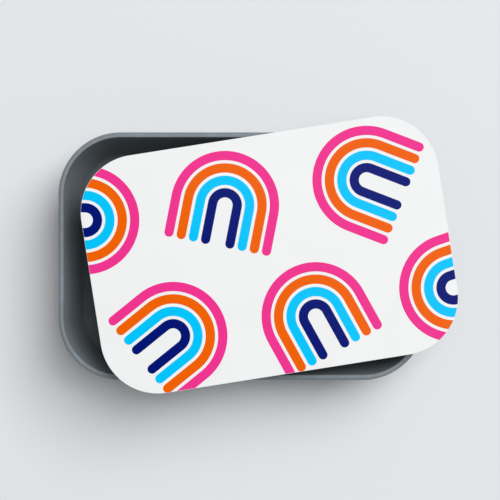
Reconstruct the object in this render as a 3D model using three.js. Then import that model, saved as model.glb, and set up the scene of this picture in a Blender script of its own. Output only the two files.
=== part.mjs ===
// A lunch box with a press-in lid: a moulded box with a beaded rim, and a lid that carries a printed sheet
// on top and a silicone seal round the plug beneath it.
//
// Millimetres, +Z up. The origin is the middle of the box's underside. +X runs along the box.
// The lid is loose. It lies on the rim, turned and pushed along, with the mouth partly open.

import * as THREE from "three";

// Driving dimensions of the box.
const BOX_LENGTH = 180;
const BOX_WIDTH = 121.6;
const BOX_HEIGHT = 44;
const CORNER_RADIUS = 30.5;
const FLOOR_THICKNESS = 2.4;
const WALL_LEAN = THREE.MathUtils.degToRad(13); // the box narrows towards its floor
const FOOT_FILLET = 17;
const FLOOR_FILLET = 18;

// The rim: a bead that stands out a little over the wall. The closed lid's edge beds on the leaning wall
// just inside it.
const BEAD_WIDTH = 2.45;
const BEAD_OUTER_RADIUS = 1.5;
const BEAD_INNER_RADIUS = 0.4;
const RIM_DEPTH = 4.6;
const RIM_OVERHANG = 1.3;

// A shallow groove in the underside parts the foot from the middle of the base.
const GROOVE_INSET = 26.5;
const GROOVE_WIDTH = 3;
const GROOVE_DEPTH = 0.6;

// The lid.
const LID_CLEARANCE = 0.2; // between the lid's edge and the bead
const PLATE_THICKNESS = 2.2;
const PLUG_DEPTH = 7;
const PLUG_STEP = 1.9; // from the plate's edge in to the plug's
const PLUG_WALL = 2.8;
const ADHESIVE_THICKNESS = 0.2;
const ADHESIVE_INSET = 1.5;
const SHEET_THICKNESS = 0.8;
const LAYER_GAP = 0.05; // between two pieces that lie on each other

// The seal and the groove that holds it, as heights above the plug's lower edge.
const SEAL_GROOVE_DEPTH = 1.2;
const SEAL_GROOVE_BOTTOM = 1.6;
const SEAL_GROOVE_TOP = 4.2;
const SEAL_GAP = 0.12;
const SEAL_LIP_REACH = 1.2;
const SEAL_LIP_THICKNESS = 0.3;

// Where the loose lid lies.
const LID_SHIFT_X = 13.4;
const LID_SHIFT_Y = 0.6;
const LID_TURN = THREE.MathUtils.degToRad(8.97);
const LID_REST_GAP = 0.1;

// Every section is the rim's outline, offset inwards, so they all share these four corner centres.
const CORNER_X = BOX_LENGTH / 2 - CORNER_RADIUS;
const CORNER_Y = BOX_WIDTH / 2 - CORNER_RADIUS;
const CORNER_SEGMENTS = 11;
const ARC_DIVISIONS = 3; // a profile's arc gets twice this many steps

const MATERIALS = {
  boxGrey: new THREE.MeshStandardMaterial({ color: 0x7b8389, roughness: 0.5, metalness: 0 }),
  lidGrey: new THREE.MeshStandardMaterial({ color: 0x7b8389, roughness: 0.5, metalness: 0 }),
  adhesive: new THREE.MeshStandardMaterial({ color: 0xd8d6cc, roughness: 0.8, metalness: 0 }),
  printedWhite: new THREE.MeshStandardMaterial({ color: 0xf1f2f2, roughness: 0.25, metalness: 0 }),
  sealSilicone: new THREE.MeshStandardMaterial({ color: 0xd9dbdb, roughness: 0.45, metalness: 0 }),
};

// Sweeps a profile round the box's rounded outline. A profile point's x is its distance from a corner's
// centre, and its y is its height. A lathe makes the four corners, which then move apart to their places.
function sweepRoundOutline(profile) {
  const segments = 4 * CORNER_SEGMENTS;
  const halfStep = Math.PI / segments; // keeps every point inside one quarter
  const flatten = 1 / Math.cos(halfStep); // brings the flat between two points out to its true distance
  const geometry = new THREE.LatheGeometry(profile, segments, halfStep, 2 * Math.PI);
  geometry.rotateX(Math.PI / 2);
  geometry.scale(flatten, flatten, 1);
  const position = geometry.getAttribute("position");
  for (let i = 0; i < position.count; i++) {
    const x = position.getX(i);
    const y = position.getY(i);
    if (Math.hypot(x, y) < 1e-6) continue; // the middle of a floor or a plate stays where it is
    position.setXY(i, x + Math.sign(x) * CORNER_X, y + Math.sign(y) * CORNER_Y);
  }
  geometry.computeVertexNormals();
  return geometry;
}

function pointsOf(path) {
  return path.getPoints(ARC_DIVISIONS);
}

function named(name, geometry, material) {
  const mesh = new THREE.Mesh(geometry, material);
  mesh.name = name;
  return mesh;
}

// The moulded box, from the middle of its underside, out and up the wall, over the bead and back down.
function boxBody() {
  const rim = CORNER_RADIUS;
  const wallTop = BOX_HEIGHT - RIM_DEPTH;
  const beadInside = rim - BEAD_WIDTH;
  const edgeBreak = 0.3;

  // How far out a leaning wall is at a height, and the middle of the fillet between it and a floor.
  const leanFrom = (top, topHeight, height) => top - (topHeight - height) * Math.tan(WALL_LEAN);
  const filletMiddle = (wallAtMiddle, radius) => wallAtMiddle - radius / Math.cos(WALL_LEAN);
  const footMiddle = filletMiddle(leanFrom(rim - RIM_OVERHANG, wallTop, FOOT_FILLET), FOOT_FILLET);
  const floorMiddleHeight = FLOOR_THICKNESS + FLOOR_FILLET;
  const floorMiddle = filletMiddle(leanFrom(beadInside, BOX_HEIGHT, floorMiddleHeight), FLOOR_FILLET);

  const profile = new THREE.Path();
  profile.moveTo(0, 0);
  profile.lineTo(rim - GROOVE_INSET - GROOVE_WIDTH, 0);
  profile.lineTo(rim - GROOVE_INSET - GROOVE_WIDTH + GROOVE_DEPTH, GROOVE_DEPTH);
  profile.lineTo(rim - GROOVE_INSET - GROOVE_DEPTH, GROOVE_DEPTH);
  profile.lineTo(rim - GROOVE_INSET, 0);
  profile.absarc(footMiddle, FOOT_FILLET, FOOT_FILLET, -Math.PI / 2, -WALL_LEAN);
  profile.lineTo(rim - RIM_OVERHANG, wallTop - edgeBreak);
  profile.lineTo(rim - edgeBreak, wallTop);
  profile.lineTo(rim, wallTop + edgeBreak);
  profile.absarc(rim - BEAD_OUTER_RADIUS, BOX_HEIGHT - BEAD_OUTER_RADIUS, BEAD_OUTER_RADIUS, 0, Math.PI / 2);
  profile.absarc(
    beadInside + BEAD_INNER_RADIUS,
    BOX_HEIGHT - BEAD_INNER_RADIUS,
    BEAD_INNER_RADIUS,
    Math.PI / 2,
    Math.PI,
  );
  profile.absarc(floorMiddle, floorMiddleHeight, FLOOR_FILLET, -WALL_LEAN, -Math.PI / 2, true);
  profile.lineTo(0, FLOOR_THICKNESS);
  return named("box_body", sweepRoundOutline(pointsOf(profile)), MATERIALS.boxGrey);
}

// Radii of the lid's edge and of its plug, from a corner's centre.
const LID_EDGE = CORNER_RADIUS - BEAD_WIDTH - LID_CLEARANCE;
const PLUG_EDGE = LID_EDGE - PLUG_STEP;

// The lid's moulding: a plate with a hollow plug under it, and a groove round the plug for the seal.
function lidMoulding() {
  const plateTop = PLUG_DEPTH + PLATE_THICKNESS;
  const hollowEdge = PLUG_EDGE - PLUG_WALL;
  const hollowFillet = 1.5;
  const plugTaper = 0.4;
  const edgeBreak = 0.4;

  const profile = new THREE.Path();
  profile.moveTo(0, PLUG_DEPTH);
  profile.lineTo(hollowEdge - hollowFillet, PLUG_DEPTH);
  profile.absarc(hollowEdge - hollowFillet, PLUG_DEPTH - hollowFillet, hollowFillet, Math.PI / 2, 0, true);
  profile.lineTo(hollowEdge, edgeBreak);
  profile.lineTo(hollowEdge + edgeBreak, 0);
  profile.lineTo(PLUG_EDGE - plugTaper - edgeBreak, 0);
  profile.lineTo(PLUG_EDGE - plugTaper, edgeBreak);
  profile.lineTo(PLUG_EDGE - plugTaper / 2, SEAL_GROOVE_BOTTOM);
  profile.lineTo(PLUG_EDGE - SEAL_GROOVE_DEPTH, SEAL_GROOVE_BOTTOM);
  profile.lineTo(PLUG_EDGE - SEAL_GROOVE_DEPTH, SEAL_GROOVE_TOP);
  profile.lineTo(PLUG_EDGE, SEAL_GROOVE_TOP);
  profile.lineTo(PLUG_EDGE, PLUG_DEPTH);
  profile.lineTo(LID_EDGE - edgeBreak, PLUG_DEPTH);
  profile.lineTo(LID_EDGE, PLUG_DEPTH + edgeBreak);
  profile.lineTo(LID_EDGE, plateTop);
  profile.lineTo(0, plateTop);
  return named("lid_moulding", sweepRoundOutline(pointsOf(profile)), MATERIALS.lidGrey);
}

// A flat layer with the lid's outline, drawn in by inset.
function flatLayer(name, inset, bottom, thickness, edgeBreak, material) {
  const edge = LID_EDGE - inset;
  const profile = new THREE.Path();
  profile.moveTo(0, bottom);
  profile.lineTo(edge, bottom);
  profile.lineTo(edge, bottom + thickness - edgeBreak);
  if (edgeBreak > 0) profile.lineTo(edge - edgeBreak, bottom + thickness);
  profile.lineTo(0, bottom + thickness);
  return named(name, sweepRoundOutline(pointsOf(profile)), material);
}

const ADHESIVE_BOTTOM = PLUG_DEPTH + PLATE_THICKNESS + LAYER_GAP;
const SHEET_BOTTOM = ADHESIVE_BOTTOM + ADHESIVE_THICKNESS + LAYER_GAP;
const SHEET_EDGE_BREAK = 0.15;

function panelAdhesive() {
  return flatLayer(
    "panel_adhesive",
    ADHESIVE_INSET,
    ADHESIVE_BOTTOM,
    ADHESIVE_THICKNESS,
    0,
    MATERIALS.adhesive,
  );
}

function printedPanel() {
  return flatLayer(
    "printed_panel",
    0,
    SHEET_BOTTOM,
    SHEET_THICKNESS,
    SHEET_EDGE_BREAK,
    MATERIALS.printedWhite,
  );
}

// The silicone seal: a band in the plug's groove with two lips that reach past the plug.
function lidSeal() {
  const back = PLUG_EDGE - SEAL_GROOVE_DEPTH + SEAL_GAP;
  const front = PLUG_EDGE - SEAL_GAP;
  const tip = PLUG_EDGE + SEAL_LIP_REACH;
  const bottom = SEAL_GROOVE_BOTTOM + SEAL_GAP;
  const top = SEAL_GROOVE_TOP - SEAL_GAP;
  const lipRise = 0.4; // a lip's root is this much lower than its tip
  const lipSpacing = 1.1;

  const profile = new THREE.Path();
  profile.moveTo(back, bottom);
  profile.lineTo(front, bottom);
  for (const root of [bottom, bottom + lipSpacing]) {
    profile.lineTo(tip, root + lipRise);
    profile.lineTo(tip, root + lipRise + SEAL_LIP_THICKNESS);
    profile.lineTo(front, root + SEAL_LIP_THICKNESS + lipRise / 2);
    if (root === bottom) profile.lineTo(front, bottom + lipSpacing);
  }
  profile.lineTo(front, top);
  profile.lineTo(back, top);
  profile.lineTo(back, bottom);
  return named("lid_seal", sweepRoundOutline(pointsOf(profile)), MATERIALS.sealSilicone);
}

const lid = new THREE.Group();
lid.add(lidMoulding(), panelAdhesive(), printedPanel(), lidSeal());
lid.position.set(LID_SHIFT_X, LID_SHIFT_Y, BOX_HEIGHT + LID_REST_GAP);
lid.rotation.z = LID_TURN;

const lunchBox = new THREE.Group();
lunchBox.add(boxBody(), lid);

export default lunchBox;
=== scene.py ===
"""A lunch box with a loose printed lid, on a pale floor under soft studio light.

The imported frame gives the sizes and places. Lengths are metres, +X runs along the box and +Z is up. Every
section of the box and of the lid is one rounded outline, drawn in or out, so each solid starts as a lathed
profile whose four corners are then moved apart.
"""

import logging
import math
from dataclasses import dataclass, field
from enum import Enum

import bmesh
import bpy
from mathutils import Matrix, Vector


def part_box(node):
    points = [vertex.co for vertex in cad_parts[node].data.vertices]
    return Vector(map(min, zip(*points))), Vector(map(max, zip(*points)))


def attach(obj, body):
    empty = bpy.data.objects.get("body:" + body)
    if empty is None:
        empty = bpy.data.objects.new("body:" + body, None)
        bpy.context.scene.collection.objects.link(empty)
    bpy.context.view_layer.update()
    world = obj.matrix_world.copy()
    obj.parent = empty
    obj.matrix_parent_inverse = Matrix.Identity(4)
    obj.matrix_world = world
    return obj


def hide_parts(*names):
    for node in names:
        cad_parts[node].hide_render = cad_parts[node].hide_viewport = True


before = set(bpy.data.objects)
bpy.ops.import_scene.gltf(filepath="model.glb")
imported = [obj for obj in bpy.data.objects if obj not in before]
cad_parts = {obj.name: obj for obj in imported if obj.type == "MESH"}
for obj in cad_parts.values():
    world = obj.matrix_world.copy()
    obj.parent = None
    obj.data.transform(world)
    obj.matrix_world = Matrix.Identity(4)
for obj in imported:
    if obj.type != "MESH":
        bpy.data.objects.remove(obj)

LOG = logging.getLogger("lunch_box")

MM = 0.001
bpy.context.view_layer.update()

BOX_GREY = "7b8389"
SHARP_OVER = math.radians(50)
MERGE_DISTANCE = 1e-7

Colour = tuple[float, float, float, float]


def linear(hex_colour: str) -> Colour:
    """Turns a display colour into the linear one that shaders use.

    Args:
        hex_colour: Six hex digits, such as "5c656b".

    Returns:
        Red, green, blue and an alpha of 1.
    """

    def channel(start: int) -> float:
        """Gives one channel of the colour, made linear."""
        value = int(hex_colour[start : start + 2], 16) / 255
        return value / 12.92 if value <= 0.04045 else ((value + 0.055) / 1.055) ** 2.4

    return (channel(0), channel(2), channel(4), 1.0)


# ---------------------------------------------------------------------------------------------------------
# Shader trees
# ---------------------------------------------------------------------------------------------------------


class Signal:
    """A node's output socket. Arithmetic on it adds Math nodes to its tree."""

    def __init__(self, tree: "ShaderTree", socket: bpy.types.NodeSocket) -> None:
        """Keeps the socket and the tree that it belongs to.

        Args:
            tree: The tree that new nodes are added to.
            socket: The output socket.
        """
        self.tree = tree
        self.socket = socket

    def _math(self, operation: str, first: "Signal | float", second: "Signal | float") -> "Signal":
        """Adds a Math node.

        Args:
            operation: The Math node's operation.
            first: Its first value.
            second: Its second value.

        Returns:
            The node's result.
        """
        return self.tree.node("ShaderNodeMath", {"operation": operation}, {0: first, 1: second})

    def __add__(self, other: "Signal | float") -> "Signal":
        """Adds."""
        return self._math("ADD", self, other)

    def __radd__(self, other: float) -> "Signal":
        """Adds to a number."""
        return self._math("ADD", other, self)

    def __sub__(self, other: "Signal | float") -> "Signal":
        """Subtracts."""
        return self._math("SUBTRACT", self, other)

    def __rsub__(self, other: float) -> "Signal":
        """Subtracts from a number."""
        return self._math("SUBTRACT", other, self)

    def __mul__(self, other: "Signal | float") -> "Signal":
        """Multiplies."""
        return self._math("MULTIPLY", self, other)

    def __rmul__(self, other: float) -> "Signal":
        """Multiplies a number."""
        return self._math("MULTIPLY", other, self)

    def over(self, low: float, high: float) -> "Signal":
        """Makes a smooth step.

        Args:
            low: The value where the result is 0.
            high: The value where the result is 1. It may be the lower of the two.

        Returns:
            A value from 0 to 1.
        """
        limits = {"From Min": low, "From Max": high, "To Min": 0.0, "To Max": 1.0}
        return self.tree.node(
            "ShaderNodeMapRange", {"interpolation_type": "SMOOTHSTEP"}, {"Value": self, **limits}
        )


class ShaderTree:
    """The node tree of a material or of the world."""

    def __init__(self, owner: bpy.types.Material | bpy.types.World) -> None:
        """Empties the owner's tree.

        Args:
            owner: The material or the world.
        """
        owner.use_nodes = True
        self.nodes = owner.node_tree.nodes
        self.links = owner.node_tree.links
        self.nodes.clear()

    def node(
        self,
        kind: str,
        settings: dict[str, object] | None = None,
        sockets: dict[str | int, object] | None = None,
        output: str | int = 0,
    ) -> Signal:
        """Adds any node.

        Args:
            kind: The node's type.
            settings: Properties of the node, which are set first.
            sockets: Input sockets by name or number, each with a number, a colour or a signal.
            output: The output socket to return.

        Returns:
            That output.
        """
        node = self.nodes.new(kind)
        for name, value in (settings or {}).items():
            setattr(node, name, value)
        for key, value in (sockets or {}).items():
            if isinstance(value, Signal):
                self.links.new(value.socket, node.inputs[key])
            else:
                node.inputs[key].default_value = value
        return Signal(self, node.outputs[output])

    def position(self) -> Signal:
        """Gives the place on the piece, in metres."""
        return self.node("ShaderNodeTexCoord", output="Object")

    def stretched(self, place: Signal, turn: float, scale: tuple[float, float, float]) -> Signal:
        """Turns and scales a place, for a pattern that is longer one way.

        Args:
            place: The place to start from.
            turn: How far to turn it about +Z, in radians.
            scale: The scale along each axis.

        Returns:
            The new place.
        """
        sockets = {"Vector": place, "Rotation": (0.0, 0.0, turn), "Scale": scale}
        return self.node("ShaderNodeMapping", sockets=sockets)

    def height_of(self, place: Signal) -> Signal:
        """Gives a place's height above the ground."""
        return self.node("ShaderNodeSeparateXYZ", sockets={"Vector": place}, output="Z")

    def noise(self, place: Signal, size: float, detail: float, roughness: float = 0.5) -> Signal:
        """Adds a noise.

        Args:
            place: Where it is read.
            size: The width of its largest blobs, in metres.
            detail: How many finer layers it has.
            roughness: How strong those are.

        Returns:
            A value that is mostly between 0.3 and 0.7.
        """
        sockets = {"Vector": place, "Scale": 1 / size, "Detail": detail, "Roughness": roughness}
        return self.node("ShaderNodeTexNoise", sockets=sockets, output="Fac")

    def mix_colour(self, factor: Signal | float, first: Signal | Colour, second: Signal | Colour) -> Signal:
        """Mixes two colours.

        Args:
            factor: The share of the second.
            first: The first colour.
            second: The second colour.

        Returns:
            The mixed colour.
        """
        factor_socket, first_socket, second_socket, result = 0, 6, 7, 2
        sockets = {factor_socket: factor, first_socket: first, second_socket: second}
        return self.node("ShaderNodeMix", {"data_type": "RGBA"}, sockets, result)

    def bump(self, height: Signal, depth: float, strength: float, under: Signal | None = None) -> Signal:
        """Adds a bump.

        Args:
            height: The height of the surface, from 0 to 1.
            depth: How deep that range is, in metres.
            strength: The bump's strength.
            under: An earlier bump that this one lies on.

        Returns:
            The new normal.
        """
        sockets: dict[str | int, object] = {"Height": height, "Distance": depth, "Strength": strength}
        if under is not None:
            sockets["Normal"] = under
        return self.node("ShaderNodeBump", sockets=sockets)

    def end(self, kind: str, shader: Signal) -> None:
        """Adds the tree's output.

        Args:
            kind: The output node's type.
            shader: The shader that it shows.
        """
        self.links.new(shader.socket, self.nodes.new(kind).inputs["Surface"])


# ---------------------------------------------------------------------------------------------------------
# Finishes
# ---------------------------------------------------------------------------------------------------------


@dataclass(frozen=True)
class Finish:
    """What a piece is made of.

    Attributes:
        name: The material's name.
        colour: Its display colour.
    """

    name: str
    colour: str

    def material(self) -> bpy.types.Material:
        """Builds the material, with one Principled shader."""
        material = bpy.data.materials.new(self.name)
        tree = ShaderTree(material)
        sockets = self.sockets(tree, tree.position())
        tree.end("ShaderNodeOutputMaterial", tree.node("ShaderNodeBsdfPrincipled", sockets=sockets))
        return material

    def sockets(self, tree: ShaderTree, place: Signal) -> dict[str | int, object]:
        """Works out the shader's sockets.

        Args:
            tree: The tree to add nodes to.
            place: The place on the piece.

        Returns:
            A number, colour or signal for each socket that isn't left as it is.
        """
        return {"Base Color": linear(self.colour)}

    def shade(self, factor: float) -> Colour:
        """Makes the colour lighter or darker.

        Args:
            factor: What its linear channels are multiplied by.

        Returns:
            The linear colour.
        """
        red, green, blue, _ = linear(self.colour)
        return (min(1.0, red * factor), min(1.0, green * factor), min(1.0, blue * factor), 1.0)


@dataclass(frozen=True)
class MouldedPlastic(Finish):
    """A satin plastic with the fine spark-eroded grain of its mould and light wear from use.

    Attributes:
        worn_above: The height above which its edges are rubbed, in metres.
        roughness: Its middle roughness.
        gloss: The strength of its reflections. 0.5 is a bare polished plastic's.
    """

    worn_above: float
    roughness: float = 0.5
    gloss: float = 0.2

    def sockets(self, tree: ShaderTree, place: Signal) -> dict[str | int, object]:
        """Mixes the tint, the scratches and the rubbed edges over a grained relief.

        Args:
            tree: The tree to add nodes to.
            place: The place on the piece.

        Returns:
            The shader's sockets.
        """
        clouds = tree.noise(place, 45 * MM, 3.0)
        mottle = tree.noise(place, 6 * MM, 4.0)
        grain = tree.noise(place, 0.45 * MM, 2.0, 0.6)
        scratches = self._scratches(tree, place)
        rubbed = tree.height_of(place).over(self.worn_above, self.worn_above + 1.0 * MM)
        rubbed = rubbed * mottle.over(0.42, 0.62)

        tinted = tree.mix_colour(clouds.over(0.3, 0.7), self.shade(0.94), self.shade(1.08))
        coloured = tree.mix_colour(scratches * 0.25 + rubbed * 0.2, tinted, self.shade(1.6))
        relief = tree.bump(mottle, 0.03 * MM, 0.2, tree.bump(grain, 0.02 * MM, 0.5))
        return {
            "Base Color": coloured,
            "Roughness": self.roughness + (mottle - 0.5) * 0.16 + scratches * 0.12 - rubbed * 0.08,
            "Normal": relief,
            "IOR": 1.49,
            "Specular IOR Level": self.gloss,
        }

    def _scratches(self, tree: ShaderTree, place: Signal) -> Signal:
        """Makes short hairline scratches in two directions.

        Args:
            tree: The tree to add to.
            place: The place on the piece.

        Returns:
            A mask that is 1 on a scratch.
        """
        first = tree.noise(tree.stretched(place, 0.5, (1.0, 14.0, 1.0)), 9 * MM, 3.0, 0.6)
        second = tree.noise(tree.stretched(place, 2.1, (1.0, 18.0, 1.0)), 12 * MM, 3.0, 0.6)
        return first.over(0.68, 0.74) + second.over(0.69, 0.74)


@dataclass(frozen=True)
class PrintedGloss(Finish):
    """The lid's smooth satin surface, either bare white or under one ink.

    Attributes:
        roughness: The middle roughness.
        gloss: The strength of its reflections. 0.5 is a bare polished plastic's.
        grain_depth: The depth of the surface's slight orange peel, in metres.
    """

    roughness: float = 0.16
    gloss: float = 0.03
    grain_depth: float = 0.006 * MM

    def sockets(self, tree: ShaderTree, place: Signal) -> dict[str | int, object]:
        """Lays faint clouds, handling marks and hairlines over a smooth relief.

        Args:
            tree: The tree to add nodes to.
            place: The place on the piece.

        Returns:
            The shader's sockets.
        """
        peel = tree.noise(place, 1.1 * MM, 2.0)
        clouds = tree.noise(place, 30 * MM, 2.0)
        handled = tree.noise(place, 14 * MM, 4.0, 0.6)
        hairlines = tree.noise(tree.stretched(place, 1.1, (1.0, 22.0, 1.0)), 16 * MM, 2.0).over(0.71, 0.75)
        return {
            "Base Color": tree.mix_colour(clouds.over(0.35, 0.65), self.shade(0.985), self.shade(1.0)),
            "Roughness": self.roughness + (handled - 0.5) * 0.08 + hairlines * 0.06,
            "Normal": tree.bump(peel, self.grain_depth, 0.35),
            "IOR": 1.45,
            "Specular IOR Level": self.gloss,
        }


@dataclass(frozen=True)
class Silicone(Finish):
    """Milky silicone rubber, a little dusty and very finely matt.

    Attributes:
        bloom: The strength of the pale haze that its skin shows at a glancing angle.
    """

    bloom: float = 0.25

    def sockets(self, tree: ShaderTree, place: Signal) -> dict[str | int, object]:
        """Lays dust over a matt skin.

        Args:
            tree: The tree to add nodes to.
            place: The place on the piece.

        Returns:
            The shader's sockets.
        """
        dust = tree.noise(place, 2.5 * MM, 5.0, 0.65)
        skin = tree.noise(place, 0.3 * MM, 1.0)
        return {
            "Base Color": tree.mix_colour(dust.over(0.4, 0.75), self.shade(1.0), self.shade(0.88)),
            "Roughness": 0.42 + (dust - 0.5) * 0.3,
            "Normal": tree.bump(skin, 0.01 * MM, 0.4),
            "Sheen Weight": self.bloom,
        }


@dataclass(frozen=True)
class AdhesiveFilm(Finish):
    """A thin milky film of adhesive with small trapped bubbles."""

    def sockets(self, tree: ShaderTree, place: Signal) -> dict[str | int, object]:
        """Scatters pale bubbles through the film.

        Args:
            tree: The tree to add nodes to.
            place: The place on the piece.

        Returns:
            The shader's sockets.
        """
        cells = tree.node("ShaderNodeTexVoronoi", sockets={"Vector": place, "Scale": 1 / (2.2 * MM)})
        bubbles = cells.over(0.32, 0.2) * tree.noise(place, 9 * MM, 3.0).over(0.45, 0.6)
        return {
            "Base Color": tree.mix_colour(bubbles, self.shade(1.0), self.shade(1.15)),
            "Roughness": 0.75 - bubbles * 0.2,
            "Normal": tree.bump(bubbles, 0.03 * MM, 0.5),
        }


@dataclass(frozen=True)
class StudioPaper(Finish):
    """The pale seamless paper of the floor."""

    def sockets(self, tree: ShaderTree, place: Signal) -> dict[str | int, object]:
        """Gives the paper its faint tooth.

        Args:
            tree: The tree to add nodes to.
            place: The place on the piece.

        Returns:
            The shader's sockets.
        """
        fibres = tree.noise(place, 1.5 * MM, 3.0)
        return {
            "Base Color": self.shade(1.0),
            "Roughness": 0.9 + (fibres - 0.5) * 0.1,
            "Normal": tree.bump(fibres, 0.01 * MM, 0.1),
            "Specular IOR Level": 0.0,
        }


# ---------------------------------------------------------------------------------------------------------
# Solids from profiles
# ---------------------------------------------------------------------------------------------------------


@dataclass(frozen=True)
class Corner:
    """One corner of a profile.

    Attributes:
        reach: Its distance from the centre of the outline's corner.
        height: Its height.
        radius: The radius that it is rounded to, or 0.
        segments: How many steps the rounding has.
    """

    reach: float
    height: float
    radius: float = 0.0
    segments: int = 4


def spin_upright(
    bm: bmesh.types.BMesh,
    geometry: list[bmesh.types.BMVert | bmesh.types.BMEdge],
    centre: tuple[float, float, float],
    angle: float,
    steps: int,
    merge: bool = False,
) -> list[bmesh.types.BMVert | bmesh.types.BMEdge]:
    """Sweeps points and edges round an upright axis.

    Args:
        bm: The mesh.
        geometry: What is swept.
        centre: A point of the axis.
        angle: How far it is swept, in radians, anticlockwise seen from above.
        steps: How many steps that takes.
        merge: Whether the last step joins up with the first.

    Returns:
        What the last step made.
    """
    swept = bmesh.ops.spin(
        bm,
        geom=geometry,
        cent=centre,
        axis=(0, 0, 1),
        dvec=(0, 0, 0),
        angle=angle,
        steps=steps,
        use_merge=merge,
        use_duplicate=False,
    )
    return swept["geom_last"]


@dataclass(frozen=True)
class Outline:
    """The rounded rectangle that every section of the box and lid follows.

    Attributes:
        half_length: From the middle to a corner's centre, along X.
        half_width: From the middle to a corner's centre, along Y.
        segments: How many steps each corner has.
    """

    half_length: float
    half_width: float
    segments: int = 24

    @property
    def half_step(self) -> float:
        """Half of the angle between two points of a corner."""
        return math.pi / (4 * self.segments)

    def sweep(self, profile: list[Corner], closed: bool) -> bmesh.types.BMesh:
        """Sweeps a profile round the outline.

        Args:
            profile: Its corners, in order. An open one starts and ends on the middle axis.
            closed: Whether it joins up with itself, as a ring's does.

        Returns:
            The solid, with its middle on the Z axis.
        """
        bm = bmesh.new()
        verts = [bm.verts.new((corner.reach, 0.0, corner.height)) for corner in profile]
        for first, second in zip(verts, verts[1:]):
            bm.edges.new((first, second))
        if closed:
            bm.edges.new((verts[-1], verts[0]))
        for vert, corner in zip(verts, profile):
            if corner.radius > 0:
                self._round(bm, vert, corner)
        flatten = 1 / math.cos(self.half_step)
        bmesh.ops.scale(bm, vec=(flatten, 1.0, 1.0), verts=bm.verts)
        bmesh.ops.rotate(bm, cent=(0, 0, 0), matrix=Matrix.Rotation(self.half_step, 3, "Z"), verts=bm.verts)
        section = list(bm.verts) + list(bm.edges)
        spin_upright(bm, section, (0, 0, 0), 2 * math.pi, 4 * self.segments, merge=True)
        bmesh.ops.remove_doubles(bm, verts=bm.verts, dist=MERGE_DISTANCE)
        self._spread_corners(bm)
        bmesh.ops.recalc_face_normals(bm, faces=bm.faces)
        return bm

    def _round(self, bm: bmesh.types.BMesh, vert: bmesh.types.BMVert, corner: Corner) -> None:
        """Rounds one corner of a profile.

        Args:
            bm: The profile.
            vert: The corner's point.
            corner: Its radius and steps.
        """
        bend = vert.calc_edge_angle()
        bmesh.ops.bevel(
            bm,
            geom=[vert],
            offset=corner.radius * math.tan(bend / 2),
            offset_type="OFFSET",
            segments=corner.segments,
            profile=0.5,
            affect="VERTICES",
            material=-1,
        )

    def _spread_corners(self, bm: bmesh.types.BMesh) -> None:
        """Moves the four quarters of a lathed solid apart.

        Args:
            bm: The solid.
        """
        for along in (-1, 1):
            for across in (-1, 1):
                quarter = [v for v in bm.verts if v.co.x * along > 1e-6 and v.co.y * across > 1e-6]
                shift = Vector((along * self.half_length, across * self.half_width, 0.0))
                bmesh.ops.translate(bm, vec=shift, verts=quarter)


@dataclass(frozen=True)
class Placement:
    """Where a flat-lying part is, seen from above.

    Attributes:
        centre: Its middle, with a height of 0.
        turn: How far it is turned about +Z, in radians.
    """

    centre: Vector
    turn: float

    @classmethod
    def of_node(cls, node: str) -> "Placement":
        """Reads the placement of a CAD node whose longest edge lies along its length.

        Args:
            node: The node's name.

        Returns:
            The placement.
        """
        low, high = (Vector(corner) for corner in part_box(node))
        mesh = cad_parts[node].data
        places = [v.co for v in mesh.vertices]
        spans = [places[e.vertices[1]] - places[e.vertices[0]] for e in mesh.edges]
        longest = max(spans, key=lambda span: span.length)
        turn = math.atan(longest.y / longest.x)
        middle = (low + high) / 2
        return cls(Vector((middle.x, middle.y, 0.0)), turn)

    @property
    def matrix(self) -> Matrix:
        """Takes a point from the part's own axes to the frame's."""
        return Matrix.Translation(self.centre) @ Matrix.Rotation(self.turn, 4, "Z")

    def half_length(self, node: str) -> float:
        """Measures a CAD node along this placement's own X axis.

        Args:
            node: The node's name.

        Returns:
            Half of its length.
        """
        inverse = self.matrix.inverted()
        return max(abs((inverse @ v.co).x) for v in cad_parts[node].data.vertices)


class Body(Enum):
    """The two bodies that pieces ride on."""

    BOX = "box"
    LID = "lid"


def finish_piece(
    bm: bmesh.types.BMesh,
    name: str,
    material: bpy.types.Material,
    body: Body,
    replaced: tuple[str, ...] = (),
) -> None:
    """Turns a bmesh into a dressed piece of the object.

    Args:
        bm: The shape, in its place.
        name: The piece's name.
        material: What it is made of.
        body: The body that it rides on.
        replaced: The CAD nodes that it stands for.
    """
    mesh = bpy.data.meshes.new(name)
    bm.to_mesh(mesh)
    bm.free()
    mesh.materials.append(material)
    mesh.shade_smooth()
    mesh.set_sharp_from_angle(angle=SHARP_OVER)
    piece = bpy.data.objects.new(name, mesh)
    bpy.context.scene.collection.objects.link(piece)
    weighting = piece.modifiers.new("flat_faces_stay_flat", "WEIGHTED_NORMAL")
    weighting.keep_sharp = True
    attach(piece, body.value)
    if replaced:
        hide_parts(*replaced)
    LOG.info("%s: %d faces on %s", name, len(mesh.polygons), body.value)


# ---------------------------------------------------------------------------------------------------------
# The box
# ---------------------------------------------------------------------------------------------------------


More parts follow.
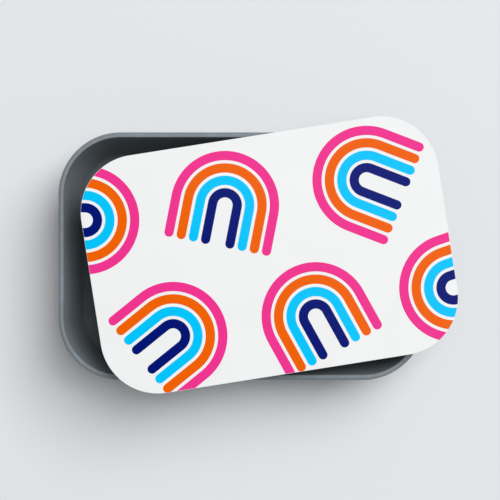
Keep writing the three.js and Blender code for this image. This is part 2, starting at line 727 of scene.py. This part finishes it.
@dataclass
class BoxShell:
    """The moulded box: floor, leaning walls, beaded rim and foot.

    Attributes:
        corner_radius: The rim's corner radius.
        bead_width: The width of the rim's bead.
        bead_outer_radius: The rounding of the bead's outer edge.
        bead_inner_radius: The rounding of the bead's inner edge.
        rim_depth: The height of the rim's outer face.
        rim_overhang: How far the rim stands out over the wall.
        floor: The floor's thickness.
        lean: The walls' lean from upright, in radians.
        foot_radius: The rounding between the underside and the wall.
        floor_radius: The rounding between the floor and the wall, inside.
        groove_inset: From the rim in to the underside's groove.
        groove_width: That groove's width.
        groove_depth: That groove's depth.
        groove_round: The rounding of its edges.
        under_rim_round: The rounding of the rim's lower edge and of the corner under it.
        rubbed: How far down from the top the rim is rubbed.
        height: The box's height.
        outline: The outline of the rim.
    """

    corner_radius: float = 30.5 * MM
    bead_width: float = 2.45 * MM
    bead_outer_radius: float = 1.5 * MM
    bead_inner_radius: float = 0.4 * MM
    rim_depth: float = 4.6 * MM
    rim_overhang: float = 1.3 * MM
    floor: float = 2.4 * MM
    lean: float = math.radians(13)
    foot_radius: float = 17 * MM
    floor_radius: float = 18 * MM
    groove_inset: float = 26.5 * MM
    groove_width: float = 3 * MM
    groove_depth: float = 0.6 * MM
    groove_round: float = 0.25 * MM
    under_rim_round: float = 0.5 * MM
    rubbed: float = 0.9 * MM
    height: float = field(init=False)
    outline: Outline = field(init=False)

    def __post_init__(self) -> None:
        """Takes the height and the outline from the frame."""
        low, high = (Vector(corner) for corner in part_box("box_body"))
        self.height = high.z - low.z
        half = (high - low) / 2
        self.outline = Outline(half.x - self.corner_radius, half.y - self.corner_radius)

    def profile(self) -> list[Corner]:
        """Draws the section from the underside's middle, up the wall, over the bead and back to the floor."""
        rim = self.corner_radius
        under_rim = self.height - self.rim_depth
        inner_top = rim - self.bead_width
        inner_foot = inner_top - (self.height - self.floor) * math.tan(self.lean)
        outer_top = rim - self.rim_overhang
        outer_foot = outer_top - under_rim * math.tan(self.lean)
        groove_in = rim - self.groove_inset - self.groove_width
        groove_out = rim - self.groove_inset
        return [
            Corner(0.0, 0.0),
            Corner(groove_in, 0.0, self.groove_round, 3),
            Corner(groove_in + self.groove_depth, self.groove_depth, self.groove_round, 3),
            Corner(groove_out - self.groove_depth, self.groove_depth, self.groove_round, 3),
            Corner(groove_out, 0.0, self.groove_round, 3),
            Corner(outer_foot, 0.0, self.foot_radius, 16),
            Corner(outer_top, under_rim, self.under_rim_round, 4),
            Corner(rim, under_rim, self.under_rim_round, 5),
            Corner(rim, self.height, self.bead_outer_radius, 8),
            Corner(inner_top, self.height, self.bead_inner_radius, 6),
            Corner(inner_foot, self.floor, self.floor_radius, 16),
            Corner(0.0, self.floor),
        ]

    def build(self) -> None:
        """Builds the shell and dresses it."""
        plastic = MouldedPlastic("box_plastic_satin", BOX_GREY, self.height - self.rubbed)
        bm = self.outline.sweep(self.profile(), closed=False)
        finish_piece(bm, "box_shell", plastic.material(), Body.BOX, ("box_body",))


# ---------------------------------------------------------------------------------------------------------
# The lid
# ---------------------------------------------------------------------------------------------------------


@dataclass(frozen=True)
class Ink:
    """One ink of the print.

    Attributes:
        name: The ink's name.
        colour: Its display colour.
        number: The number of its band, counted outwards from 1.
    """

    name: str
    colour: str
    number: int


class RainbowInk(Enum):
    """The four inks, from the innermost band to the outermost: cold inside and warm outside."""

    NAVY = Ink("navy", "001472", 1)
    CYAN = Ink("cyan", "00c4fa", 2)
    ORANGE = Ink("orange", "f06200", 3)
    PINK = Ink("pink", "f03490", 4)


@dataclass
class RainbowPrint:
    """Plain rainbows on a zigzag along the sheet, printed to its very edge.

    A rainbow is four half rings, each on two straight legs. All of its sizes follow from the spacing of
    its bands: the radius of each is its number times the spacing.

    Attributes:
        spacing: From the middle of one band to the next.
        band_share: The share of the spacing that a band fills.
        leg_spacings: The length of a leg, in spacings.
        film: The thickness of the dried ink.
        count: How many rainbows there are.
        along_step: From one rainbow to the next, along the sheet.
        across: How far each stands to one side of the sheet's middle line, to either side in turn.
        turn_step: How far each is turned on from the last, in radians. One half way would be upright.
        arch_steps: How many steps a half ring has.
        foot_steps: How many steps the round end of a leg has.
    """

    spacing: float = 6 * MM
    band_share: float = 0.75
    leg_spacings: float = 3.0
    film: float = 0.04 * MM
    count: int = 6
    along_step: float = 33 * MM
    across: float = 30 * MM
    turn_step: float = math.radians(40)
    arch_steps: int = 48
    foot_steps: int = 10

    @property
    def leg(self) -> float:
        """The length of a leg."""
        return self.leg_spacings * self.spacing

    def places(self) -> list[Matrix]:
        """Places the rainbows.

        Returns:
            For each, what takes a point from its own axes, with its feet at a y of 0, to the sheet's.
        """
        to_middle = Matrix.Translation((0.0, -(self.leg + len(RainbowInk) * self.spacing) / 2, 0.0))
        places = []
        for number in range(self.count):
            step = number - (self.count - 1) / 2
            side = 1 if number % 2 == 0 else -1
            spot = Matrix.Translation((step * self.along_step, side * self.across, 0.0))
            places.append(spot @ Matrix.Rotation(step * self.turn_step, 4, "Z") @ to_middle)
        return places

    def arch(self, bm: bmesh.types.BMesh, radius: float) -> list[bmesh.types.BMFace]:
        """Draws one band as a flat ribbon with round ends.

        Args:
            bm: The mesh to draw in.
            radius: The radius of the band's half ring.

        Returns:
            The ribbon's faces.
        """
        before = set(bm.faces)
        half = self.band_share * self.spacing / 2
        ends = [bm.verts.new((radius + side * half, 0.0, 0.0)) for side in (-1, 1)]
        front = [bm.edges.new(ends)]
        self._cap(bm, ends, radius)
        front = self._run(bm, front, self.leg)
        front = self._swing(bm, front)
        front = self._run(bm, front, -self.leg)
        last = sorted({v for edge in front for v in edge.verts}, key=lambda v: v.co.x)
        self._cap(bm, last, -radius)
        return [f for f in bm.faces if f not in before]

    def _run(
        self, bm: bmesh.types.BMesh, front: list[bmesh.types.BMEdge], length: float
    ) -> list[bmesh.types.BMEdge]:
        """Runs the ribbon's front edge straight on.

        Args:
            bm: The mesh.
            front: The front edge.
            length: How far, upwards.

        Returns:
            The new front edge.
        """
        run = bmesh.ops.extrude_edge_only(bm, edges=front)["geom"]
        corners = {g for g in run if isinstance(g, bmesh.types.BMVert)}
        bmesh.ops.translate(bm, vec=(0.0, length, 0.0), verts=list(corners))
        return [g for g in run if isinstance(g, bmesh.types.BMEdge) and set(g.verts) <= corners]

    def _swing(self, bm: bmesh.types.BMesh, front: list[bmesh.types.BMEdge]) -> list[bmesh.types.BMEdge]:
        """Swings the ribbon's front edge over from the right leg to the left.

        Args:
            bm: The mesh.
            front: The front edge.

        Returns:
            The new front edge.
        """
        corners = [v for edge in front for v in edge.verts]
        last = spin_upright(bm, corners + front, (0.0, self.leg, 0.0), math.pi, self.arch_steps)
        return [g for g in last if isinstance(g, bmesh.types.BMEdge)]

    def _cap(self, bm: bmesh.types.BMesh, ends: list[bmesh.types.BMVert], middle: float) -> None:
        """Closes a foot with a half disc.

        Args:
            bm: The mesh.
            ends: The foot's two corners, with the lower x first.
            middle: The x half way between them.
        """
        steps = self.foot_steps - 1
        angle = -math.pi * steps / self.foot_steps
        tip = spin_upright(bm, [ends[1]], (middle, 0.0, 0.0), angle, steps)[0]
        bm.edges.new((tip, ends[0]))
        rim = [e for e in bm.edges if e.is_wire]
        foot = bm.edges.get(ends) or bm.edges.new(ends)
        bmesh.ops.edgeloop_fill(bm, edges=rim if foot in rim else rim + [foot])

    def build(self, placement: Placement, outline: Outline, reach: float, top: float) -> None:
        """Builds one film of ink for each colour and dresses it.

        Args:
            placement: Where the lid is.
            outline: The lid's outline.
            reach: From a corner's centre out to the sheet's edge.
            top: The height of the sheet's face.
        """
        for choice in RainbowInk:
            ink = choice.value
            bm = bmesh.new()
            for place in self.places():
                faces = self.arch(bm, ink.number * self.spacing)
                verts = list({v for f in faces for v in f.verts})
                bmesh.ops.transform(bm, matrix=place, verts=verts)
            self._trim(bm, outline, reach)
            bmesh.ops.remove_doubles(bm, verts=bm.verts, dist=MERGE_DISTANCE)
            self._thicken(bm)
            bmesh.ops.transform(
                bm, matrix=Matrix.Translation((0.0, 0.0, top)) @ placement.matrix, verts=bm.verts
            )
            finish = PrintedGloss(f"ink_{ink.name}", ink.colour)
            finish_piece(bm, f"ink_{ink.name}", finish.material(), Body.LID)

    def _trim(self, bm: bmesh.types.BMesh, outline: Outline, reach: float) -> None:
        """Cuts the ribbons off at the sheet's edge.

        Args:
            bm: The ribbons.
            outline: The lid's outline.
            reach: From a corner's centre out to the edge.
        """
        for step in range(4 * outline.segments):
            angle = 2 * outline.half_step * step
            direction = Vector((math.cos(angle), math.sin(angle), 0.0))
            centre = Vector(
                (
                    math.copysign(outline.half_length, direction.x),
                    math.copysign(outline.half_width, direction.y),
                    0.0,
                )
            )
            bmesh.ops.bisect_plane(
                bm,
                geom=list(bm.verts) + list(bm.edges) + list(bm.faces),
                dist=1e-8,
                plane_co=centre + direction * reach,
                plane_no=direction,
                clear_outer=True,
                clear_inner=False,
            )

    def _thicken(self, bm: bmesh.types.BMesh) -> None:
        """Gives the flat ribbons the thickness of the film, upwards.

        Args:
            bm: The ribbons.
        """
        for face in bm.faces:
            if face.normal.z > 0:
                face.normal_flip()
        raised = bmesh.ops.extrude_face_region(bm, geom=list(bm.faces), use_keep_orig=True)
        lifted = [g for g in raised["geom"] if isinstance(g, bmesh.types.BMVert)]
        bmesh.ops.translate(bm, vec=(0.0, 0.0, self.film), verts=lifted)
        bmesh.ops.recalc_face_normals(bm, faces=bm.faces)


@dataclass
class Lid:
    """The loose lid: a moulded plate with a plug, a seal, an adhesive film and a printed sheet.

    Attributes:
        outline: The outline that the lid shares with the box.
        plug_step: From the plate's edge in to the plug's.
        plug_wall: The plug's wall.
        plug_taper: How much narrower each side of the plug is at its lower edge.
        plate_thickness: The plate's thickness.
        edge_round: The rounding of the plate's and the sheet's upper edges.
        seal_groove_depth: How deep the seal's groove is.
        seal_gap: Between the seal and its groove.
        seal_lip_reach: How far the seal's lips reach past the plug.
        placement: Where the lid is.
        reach: From a corner's centre out to the lid's edge.
    """

    outline: Outline
    plug_step: float = 1.9 * MM
    plug_wall: float = 2.8 * MM
    plug_taper: float = 0.4 * MM
    plate_thickness: float = 2.2 * MM
    edge_round: float = 0.15 * MM
    seal_groove_depth: float = 1.2 * MM
    seal_gap: float = 0.12 * MM
    seal_lip_reach: float = 1.2 * MM
    placement: Placement = field(init=False)
    reach: float = field(init=False)

    def __post_init__(self) -> None:
        """Takes the lid's place and its edge from the frame."""
        self.placement = Placement.of_node("printed_panel")
        self.reach = self.placement.half_length("printed_panel") - self.outline.half_length

    @property
    def plug_reach(self) -> float:
        """From a corner's centre out to the plug's face."""
        return self.reach - self.plug_step

    def _place(self, profile: list[Corner], closed: bool) -> bmesh.types.BMesh:
        """Sweeps a profile and puts it where the lid is.

        Args:
            profile: The profile, with its heights in the frame.
            closed: Whether it joins up with itself.

        Returns:
            The solid in its place.
        """
        bm = self.outline.sweep(profile, closed)
        bmesh.ops.transform(bm, matrix=self.placement.matrix, verts=bm.verts)
        return bm

    def build_moulding(self) -> None:
        """Builds the plate with its hollow plug and seal groove."""
        low, high = (Vector(corner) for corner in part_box("lid_moulding"))
        seal_low, seal_high = (Vector(corner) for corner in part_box("lid_seal"))
        under_plate = high.z - self.plate_thickness
        plug = self.plug_reach
        hollow = plug - self.plug_wall
        groove = plug - self.seal_groove_depth
        groove_low = seal_low.z - self.seal_gap
        groove_high = seal_high.z + self.seal_gap
        profile = [
            Corner(0.0, under_plate),
            Corner(hollow, under_plate, 1.5 * MM, 8),
            Corner(hollow, low.z, 0.4 * MM, 4),
            Corner(plug - self.plug_taper, low.z, 0.5 * MM, 4),
            Corner(plug - self.plug_taper / 2, groove_low, 0.2 * MM, 3),
            Corner(groove, groove_low),
            Corner(groove, groove_high),
            Corner(plug, groove_high, 0.2 * MM, 3),
            Corner(plug, under_plate, 0.3 * MM, 3),
            Corner(self.reach, under_plate, 0.5 * MM, 5),
            Corner(self.reach, high.z, self.edge_round, 3),
            Corner(0.0, high.z),
        ]
        plastic = MouldedPlastic("lid_plastic_satin", BOX_GREY, high.z)
        bm = self._place(profile, closed=False)
        finish_piece(bm, "lid_plate", plastic.material(), Body.LID, ("lid_moulding",))

    def build_seal(self) -> None:
        """Builds the silicone band with its two lips."""
        low, high = (Vector(corner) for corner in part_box("lid_seal"))
        back = self.plug_reach - self.seal_groove_depth + self.seal_gap
        front = self.plug_reach - self.seal_gap
        tip = self.plug_reach + self.seal_lip_reach
        lip_spacing = 1.1 * MM
        lip_rise = 0.4 * MM
        lip_thickness = 0.3 * MM
        profile = [Corner(back, low.z)]
        for lip in range(2):
            root = low.z + lip * lip_spacing
            profile += [
                Corner(front, root, 0.08 * MM, 2),
                Corner(tip, root + lip_rise, 0.14 * MM, 3),
                Corner(tip, root + lip_rise + lip_thickness, 0.14 * MM, 3),
                Corner(front, root + lip_rise / 2 + lip_thickness, 0.08 * MM, 2),
            ]
        profile += [Corner(front, high.z), Corner(back, high.z)]
        bm = self._place(profile, closed=True)
        silicone = Silicone("seal_silicone_milky", "d9dbdb")
        finish_piece(bm, "seal_band", silicone.material(), Body.LID, ("lid_seal",))

    def build_sheet(self) -> None:
        """Builds the white sheet and the print on it."""
        low, high = (Vector(corner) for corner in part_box("printed_panel"))
        profile = [
            Corner(0.0, low.z),
            Corner(self.reach, low.z),
            Corner(self.reach, high.z, self.edge_round, 4),
            Corner(0.0, high.z),
        ]
        bm = self._place(profile, closed=False)
        white = PrintedGloss("sheet_white", "f1f2f2")
        finish_piece(bm, "printed_sheet", white.material(), Body.LID, ("printed_panel",))
        RainbowPrint().build(self.placement, self.outline, self.reach - self.edge_round, high.z)

    def build(self) -> None:
        """Builds the lid's pieces and dresses the adhesive film that the CAD already shapes."""
        self.build_moulding()
        self.build_seal()
        self.build_sheet()
        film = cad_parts["panel_adhesive"]
        film.data.materials.clear()
        film.data.materials.append(AdhesiveFilm("adhesive_film_milky", "d8d6cc").material())
        LOG.info("panel_adhesive: dressed")


# ---------------------------------------------------------------------------------------------------------
# The studio
# ---------------------------------------------------------------------------------------------------------


@dataclass(frozen=True)
class SoftLight:
    """A large square softbox that faces the box.

    Attributes:
        name: The light's name.
        azimuth: Its bearing in degrees, anticlockwise from +X seen from above.
        elevation: Its height above the floor, in degrees.
        distance: How far away it is, in metres.
        size: The side of its square, in metres.
        power: Its power, in watts.
    """

    name: str
    azimuth: float
    elevation: float
    distance: float
    size: float
    power: float

    def build(self, target: Vector) -> None:
        """Hangs the light.

        Args:
            target: What it faces.
        """
        light = bpy.data.lights.new(self.name, "AREA")
        light.shape = "SQUARE"
        light.size = self.size
        light.energy = self.power
        azimuth, elevation = math.radians(self.azimuth), math.radians(self.elevation)
        flat = math.cos(elevation)
        direction = Vector((flat * math.cos(azimuth), flat * math.sin(azimuth), math.sin(elevation)))
        lamp = bpy.data.objects.new(self.name, light)
        lamp.location = target + direction * self.distance
        lamp.rotation_euler = direction.to_track_quat("Z", "Y").to_euler()
        bpy.context.scene.collection.objects.link(lamp)


@dataclass
class Studio:
    """The floor, the lights and a camera that looks straight down.

    Attributes:
        camera_height: The camera's height above the rim.
        view_width: The width of the view at the rim.
        aim: The point of the rim's plane that the view is centred on.
        ambient: The strength of the even light from all round.
        ambient_colour: Its linear colour.
        floor_reach: From the floor's middle to its edges.
        floor_drop: How far the floor lies under the box.
        aim_height: The height that the softboxes are aimed at.
        lights: The softboxes.
    """

    camera_height: float = 0.77
    view_width: float = 245.2 * MM
    aim: tuple[float, float] = (4.0 * MM, 3.0 * MM)
    ambient: float = 0.23
    ambient_colour: Colour = (0.975, 0.985, 1.0, 1.0)
    floor_reach: float = 6.0
    floor_drop: float = 0.02 * MM
    aim_height: float = 30 * MM
    lights: tuple[SoftLight, ...] = (
        SoftLight("key", 42, 52, 5.0, 2.8, 147),
        SoftLight("top", 44, 78, 4.5, 1.9, 76),
    )

    def build(self) -> None:
        """Sets up the floor, the camera and the lights."""
        self._floor()
        self._camera()
        middle = Vector((0.0, 0.0, self.aim_height))
        for light in self.lights:
            light.build(middle)
        self._ambient()
        bpy.context.scene.view_settings.view_transform = "Standard"

    def _floor(self) -> None:
        """Lays the floor."""
        bm = bmesh.new()
        bmesh.ops.create_grid(bm, x_segments=1, y_segments=1, size=self.floor_reach)
        bmesh.ops.translate(bm, vec=(0.0, 0.0, -self.floor_drop), verts=bm.verts)
        mesh = bpy.data.meshes.new("floor")
        bm.to_mesh(mesh)
        bm.free()
        mesh.materials.append(StudioPaper("studio_paper", "e4e6e8").material())
        floor = bpy.data.objects.new("floor", mesh)
        bpy.context.scene.collection.objects.link(floor)

    def _camera(self) -> None:
        """Hangs the camera over the box."""
        rim = Vector(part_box("box_body")[1]).z
        lens = bpy.data.cameras.new("camera")
        lens.lens = lens.sensor_width * self.camera_height / self.view_width
        lens.clip_start = 0.01
        camera = bpy.data.objects.new("camera", lens)
        camera.location = (*self.aim, rim + self.camera_height)
        bpy.context.scene.collection.objects.link(camera)
        bpy.context.scene.camera = camera

    def _ambient(self) -> None:
        """Lights the room evenly."""
        world = bpy.data.worlds.new("studio")
        tree = ShaderTree(world)
        walls = {"Color": self.ambient_colour, "Strength": self.ambient}
        tree.end("ShaderNodeOutputWorld", tree.node("ShaderNodeBackground", sockets=walls))
        bpy.context.scene.world = world


def main() -> None:
    """Builds the box, the lid and the studio."""
    logging.basicConfig(level=logging.INFO, format="%(name)s: %(message)s")
    box = BoxShell()
    box.build()
    Lid(box.outline).build()
    Studio().build()


if __name__ == "__main__":
    main()
